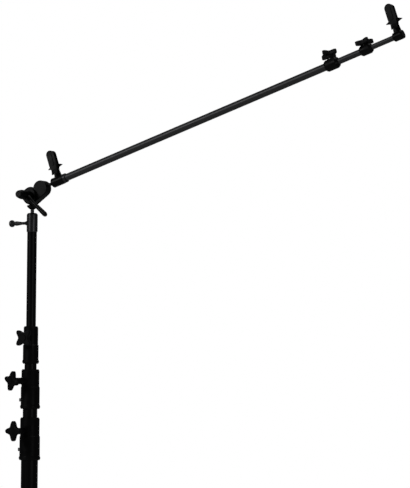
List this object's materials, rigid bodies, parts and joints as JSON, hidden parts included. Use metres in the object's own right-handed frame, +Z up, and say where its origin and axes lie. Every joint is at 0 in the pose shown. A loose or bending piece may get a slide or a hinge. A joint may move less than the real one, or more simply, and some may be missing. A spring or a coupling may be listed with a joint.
{
  "type": "light stand with telescopic reflector boom",
  "caption": "Light stand with folding curved legs, a telescoping column clamped by star knobs, a tilting head with a clamping lever, and a telescopic boom that carries spring clips.",
  "frame": {"origin": "on the floor at the column's axis", "axes": "+Z up the column; +X level, the way the boom leaves the column; the boom lies in the XZ plane at rest; +Y to the left seen from the column towards the boom's tip; the clamping lever is on the -Y side"},
  "size_m": [1.0995, 0.8796, 1.7958],
  "materials": {
    "tube_black": "satin",
    "cast_black": "satin",
    "knob_black": "matte",
    "boom_knob": "matte",
    "rubber": "matte",
    "inner_nylon": "matte",
    "steel": "satin",
    "socket_grey": "satin",
    "knuckle_black": "satin",
    "boom_tube": "satin",
    "ring_grey": "satin",
    "boom_black": "matte"
  },
  "bodies": {
    "base": {"base_tube": "tube_black", "leg_front": "tube_black", "foot_front": "rubber", "leg_rings": "inner_nylon", "base_plug": "inner_nylon", "collar_low": "cast_black", "collar_low_screw": "steel"},
    "leg_left": {"leg_left": "tube_black", "foot_left": "rubber"},
    "leg_right": {"leg_right": "tube_black", "foot_right": "rubber"},
    "riser_1": {"riser_1": "tube_black", "guide_1": "inner_nylon", "collar_mid": "cast_black", "collar_mid_screw": "steel"},
    "riser_2": {"riser_2": "tube_black", "guide_2": "inner_nylon", "collar_top": "cast_black"},
    "riser_3": {"riser_3": "tube_black", "guide_3": "inner_nylon", "spigot": "steel"},
    "pad_low": {"pad_low": "inner_nylon"},
    "knob_low": {"knob_low": "knob_black", "stud_low": "steel"},
    "pad_mid": {"pad_mid": "inner_nylon"},
    "knob_mid": {"knob_mid": "knob_black", "stud_mid": "steel"},
    "pad_top": {"pad_top": "inner_nylon"},
    "knob_top": {"knob_top": "knob_black", "stud_top": "steel"},
    "head": {"head_socket": "socket_grey", "lower_knuckle": "knuckle_black", "friction_discs": "inner_nylon"},
    "socket_screw": {"socket_screw": "steel"},
    "socket_screw_grip": {"socket_screw_grip": "steel"},
    "arm_1": {"upper_knuckle": "knuckle_black", "pivot_bolt": "steel", "arm_stem": "steel", "arm_tube_1": "boom_tube", "arm_ring": "ring_grey", "arm_collar_a": "boom_black"},
    "lever_insert": {"lever_insert": "steel", "lever_screw": "steel"},
    "lever": {"lever": "knuckle_black"},
    "arm_2": {"arm_tube_2": "boom_tube", "arm_collar_b": "boom_black"},
    "arm_3": {"arm_tube_3": "boom_tube", "arm_tip": "boom_black"},
    "arm_stud_a": {"arm_stud_a": "steel"},
    "arm_knob_a": {"arm_knob_a": "boom_knob"},
    "arm_stud_b": {"arm_stud_b": "steel"},
    "arm_knob_b": {"arm_knob_b": "boom_knob"},
    "clip_near": {"clip_near": "boom_black", "clip_near_pin": "steel", "clip_near_spring": "steel"},
    "clip_near_jaw": {"clip_near_jaw": "boom_black"},
    "clip_far": {"clip_far": "boom_black", "clip_far_pin": "steel", "clip_far_spring": "steel"},
    "clip_far_jaw": {"clip_far_jaw": "boom_black"}
  },
  "joints": [
    {"name": "leg_left_fold", "type": "hinge", "parent": "base", "child": "leg_left", "pos_m": [0, 0, 0.294], "axis": [0, 0, 1], "range_deg": [-90, 0]},
    {"name": "leg_right_fold", "type": "hinge", "parent": "base", "child": "leg_right", "pos_m": [0, 0, 0.258], "axis": [0, 0, 1], "range_deg": [0, 90]},
    {"name": "riser_1_slide", "type": "slide", "parent": "base", "child": "riser_1", "axis": [0, 0, 1], "range_m": [-0.0175, 0.54]},
    {"name": "riser_2_slide", "type": "slide", "parent": "riser_1", "child": "riser_2", "axis": [0, 0, 1], "range_m": [-0.0113, 0.63]},
    {"name": "riser_3_slide", "type": "slide", "parent": "riser_2", "child": "riser_3", "axis": [0, 0, 1], "range_m": [-0.195, 0.53]},
    {"name": "knob_low_slide", "type": "slide", "parent": "base", "child": "pad_low", "axis": [-0.2079, -0.9781, 0], "range_m": [0, 0.00375]},
    {"name": "knob_low_turn", "type": "hinge", "parent": "pad_low", "child": "knob_low", "pos_m": [0, 0, 0.96], "axis": [-0.2079, -0.9781, 0], "range_deg": [0, 1081]},
    {"name": "knob_mid_slide", "type": "slide", "parent": "riser_1", "child": "pad_mid", "axis": [-0.3502, -0.9367, 0], "range_m": [0, 0.00375]},
    {"name": "knob_mid_turn", "type": "hinge", "parent": "pad_mid", "child": "knob_mid", "pos_m": [0, 0, 1.063], "axis": [-0.3502, -0.9367, 0], "range_deg": [0, 1081]},
    {"name": "knob_top_slide", "type": "slide", "parent": "riser_2", "child": "pad_top", "axis": [0.0872, -0.9962, 0], "range_m": [0, 0.00375]},
    {"name": "knob_top_turn", "type": "hinge", "parent": "pad_top", "child": "knob_top", "pos_m": [0, 0, 1.1514], "axis": [0.0872, -0.9962, 0], "range_deg": [0, 1081]},
    {"name": "head_pan", "type": "hinge", "parent": "riser_3", "child": "head", "pos_m": [0, 0, 1.372], "axis": [0, 0, 1], "continuous": true},
    {"name": "socket_screw_slide", "type": "slide", "parent": "head", "child": "socket_screw", "axis": [-1, 0, 0], "range_m": [0, 0.003]},
    {"name": "socket_screw_turn", "type": "hinge", "parent": "socket_screw", "child": "socket_screw_grip", "pos_m": [0, 0, 1.3906], "axis": [-1, 0, 0], "range_deg": [0, 1081]},
    {"name": "tilt", "type": "hinge", "parent": "head", "child": "arm_1", "pos_m": [0, 0, 1.447], "axis": [0, -1, 0], "range_deg": [-36, 75]},
    {"name": "lever_turn", "type": "hinge", "parent": "arm_1", "child": "lever_insert", "pos_m": [0, 0, 1.447], "axis": [0, -1, 0], "range_deg": [0, 120]},
    {"name": "lever_lift", "type": "slide", "parent": "lever_insert", "child": "lever", "axis": [0, -1, 0], "range_m": [0, 0.0045], "stiffness_N_per_m": 400, "springref_m": -0.002},
    {"name": "arm_2_slide", "type": "slide", "parent": "arm_1", "child": "arm_2", "axis": [0.9478, 0, 0.319], "range_m": [-0.039, 0.46]},
    {"name": "arm_3_slide", "type": "slide", "parent": "arm_2", "child": "arm_3", "axis": [0.9478, 0, 0.319], "range_m": [-0.031, 0.49]},
    {"name": "arm_knob_a_slide", "type": "slide", "parent": "arm_1", "child": "arm_stud_a", "axis": [-0.3095, 0.2419, 0.9196], "range_m": [0, 0.003]},
    {"name": "arm_knob_a_turn", "type": "hinge", "parent": "arm_stud_a", "child": "arm_knob_a", "pos_m": [0.68133, 0, 1.68458], "axis": [-0.3095, 0.2419, 0.9196], "range_deg": [0, 1081]},
    {"name": "arm_knob_b_slide", "type": "slide", "parent": "arm_2", "child": "arm_stud_b", "axis": [-0.3185, 0.0523, 0.9465], "range_m": [0, 0.003]},
    {"name": "arm_knob_b_turn", "type": "hinge", "parent": "arm_stud_b", "child": "arm_knob_b", "pos_m": [0.75611, 0, 1.70975], "axis": [-0.3185, 0.0523, 0.9465], "range_deg": [0, 1081]},
    {"name": "clip_near_turn", "type": "hinge", "parent": "arm_1", "child": "clip_near", "pos_m": [0.06253, 0, 1.47634], "axis": [0.9478, 0, 0.319], "continuous": true},
    {"name": "clip_near_open", "type": "hinge", "parent": "clip_near", "child": "clip_near_jaw", "pos_m": [0.05264, 0, 1.50572], "axis": [0.9478, 0, 0.319], "range_deg": [0, 20], "stiffness_Nm_per_rad": 0.4, "springref_deg": -20.05},
    {"name": "clip_far_turn", "type": "hinge", "parent": "arm_3", "child": "clip_far", "pos_m": [0.82331, 0, 1.73236], "axis": [0.9478, 0, 0.319], "continuous": true},
    {"name": "clip_far_open", "type": "hinge", "parent": "clip_far", "child": "clip_far_jaw", "pos_m": [0.81342, 0, 1.76175], "axis": [0.9478, 0, 0.319], "range_deg": [0, 20], "stiffness_Nm_per_rad": 0.4, "springref_deg": -20.05}
  ],
  "couplings": [
    {"joint": "knob_low_turn", "follows": "knob_low_slide", "rad_per_m": 5026.5},
    {"joint": "knob_mid_turn", "follows": "knob_mid_slide", "rad_per_m": 5026.5},
    {"joint": "knob_top_turn", "follows": "knob_top_slide", "rad_per_m": 5026.5},
    {"joint": "socket_screw_turn", "follows": "socket_screw_slide", "rad_per_m": 6283.2},
    {"joint": "arm_knob_a_turn", "follows": "arm_knob_a_slide", "rad_per_m": 6283.2},
    {"joint": "arm_knob_b_turn", "follows": "arm_knob_b_slide", "rad_per_m": 6283.2}
  ]
}
